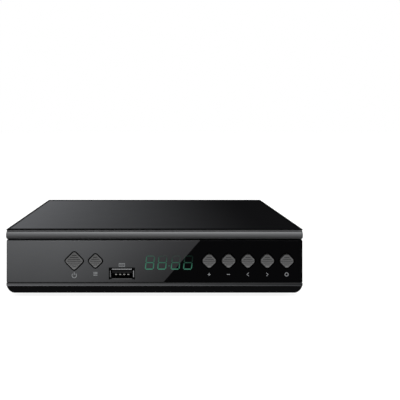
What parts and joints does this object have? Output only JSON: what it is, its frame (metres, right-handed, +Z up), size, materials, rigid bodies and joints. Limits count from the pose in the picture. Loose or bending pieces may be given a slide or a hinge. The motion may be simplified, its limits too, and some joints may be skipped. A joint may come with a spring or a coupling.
{
  "type": "terrestrial tv receiver",
  "caption": "Low black set-top box: folded steel case, glossy front with sprung diamond keys, digit display and USB port, rear aerial and AV sockets.",
  "frame": {"origin": "middle of the whole box's footprint, at the underside of the feet", "axes": "+X to the right as seen from the front, +Y to the rear, +Z up"},
  "size_m": [0.165, 0.1108, 0.0386],
  "materials": {
    "bezel_plastic": "moulded, satin black",
    "window_acrylic": "gloss, tinted, two-tone",
    "trim_bar": "satin grey",
    "trim_strip": "satin grey",
    "cover_paint": "fine black powder coat",
    "tray_steel": "zinc-plated sheet",
    "foot_rubber": "matt rubber",
    "screw_black": "blackened steel",
    "screw_zinc": "zinc-plated",
    "board_green": "solder mask",
    "switch_plastic": "moulded black",
    "plunger_plastic": "moulded off-white",
    "display_plastic": "black face",
    "segment_glow": "lit green",
    "ir_resin": "dark resin",
    "nickel": "nickel-plated",
    "gold": "gold-flashed",
    "socket_plastic": "moulded black",
    "header_plastic": "moulded ivory",
    "ribbon_plastic": "flat grey cable",
    "chip_resin": "moulded resin",
    "sink_aluminium": "extruded, plain",
    "can_tin": "tin-plated sheet",
    "capacitor_sleeve": "shrink sleeve",
    "ferrite": "sintered ferrite",
    "insert_yellow": "moulded yellow",
    "insert_white": "moulded white",
    "insert_red": "moulded red",
    "key_plastic": "satin grey, finely ribbed"
  },
  "bodies": {
    "case": {"front_bezel": "bezel_plastic", "front_window": "window_acrylic", "top_trim_bar": "trim_bar", "lower_trim_strip": "trim_strip", "top_cover": "cover_paint", "base_tray": "tray_steel", "foot_front_left": "foot_rubber", "foot_front_right": "foot_rubber", "foot_rear_left": "foot_rubber", "foot_rear_right": "foot_rubber", "cover_screws": "screw_black", "bezel_screws": "screw_zinc", "board_standoffs": "screw_zinc", "main_board_screws": "screw_zinc", "front_board_screws": "screw_zinc", "front_board": "board_green", "switch_housings": "switch_plastic", "led_display": "display_plastic", "display_digits": "segment_glow", "ir_receiver": "ir_resin", "usb_shell": "nickel", "usb_tongue": "socket_plastic", "usb_contacts": "gold", "ribbon_headers": "header_plastic", "front_ribbon": "ribbon_plastic", "main_board": "board_green", "main_chip": "chip_resin", "heat_sink": "sink_aluminium", "memory_chip": "chip_resin", "filter_capacitors": "capacitor_sleeve", "power_coil": "ferrite", "tuner_can": "can_tin", "rf_in_socket": "nickel", "rf_in_contact": "gold", "rf_loop_plug": "nickel", "rf_loop_pin": "gold", "hdmi_shell": "nickel", "hdmi_tongue": "socket_plastic", "rca_jacks": "socket_plastic", "rca_sleeves": "nickel", "rca_insert_yellow": "insert_yellow", "rca_insert_white": "insert_white", "rca_insert_red": "insert_red", "dc_jack": "socket_plastic", "dc_pin": "nickel"},
    "power_key": {"key_power": "key_plastic", "plunger_power": "plunger_plastic"},
    "menu_key": {"key_menu": "key_plastic", "plunger_menu": "plunger_plastic"},
    "plus_key": {"key_plus": "key_plastic", "plunger_plus": "plunger_plastic"},
    "minus_key": {"key_minus": "key_plastic", "plunger_minus": "plunger_plastic"},
    "left_key": {"key_left": "key_plastic", "plunger_left": "plunger_plastic"},
    "right_key": {"key_right": "key_plastic", "plunger_right": "plunger_plastic"},
    "ok_key": {"key_ok": "key_plastic", "plunger_ok": "plunger_plastic"}
  },
  "joints": [
    {"name": "power_press", "type": "slide", "parent": "case", "child": "power_key", "axis": [0, 1, 0], "range_m": [0, 0.0005], "stiffness_N_per_m": 1500, "springref_m": -0.0005},
    {"name": "menu_press", "type": "slide", "parent": "case", "child": "menu_key", "axis": [0, 1, 0], "range_m": [0, 0.0005], "stiffness_N_per_m": 1500, "springref_m": -0.0005},
    {"name": "plus_press", "type": "slide", "parent": "case", "child": "plus_key", "axis": [0, 1, 0], "range_m": [0, 0.0005], "stiffness_N_per_m": 1500, "springref_m": -0.0005},
    {"name": "minus_press", "type": "slide", "parent": "case", "child": "minus_key", "axis": [0, 1, 0], "range_m": [0, 0.0005], "stiffness_N_per_m": 1500, "springref_m": -0.0005},
    {"name": "left_press", "type": "slide", "parent": "case", "child": "left_key", "axis": [0, 1, 0], "range_m": [0, 0.0005], "stiffness_N_per_m": 1500, "springref_m": -0.0005},
    {"name": "right_press", "type": "slide", "parent": "case", "child": "right_key", "axis": [0, 1, 0], "range_m": [0, 0.0005], "stiffness_N_per_m": 1500, "springref_m": -0.0005},
    {"name": "ok_press", "type": "slide", "parent": "case", "child": "ok_key", "axis": [0, 1, 0], "range_m": [0, 0.0005], "stiffness_N_per_m": 1500, "springref_m": -0.0005}
  ]
}
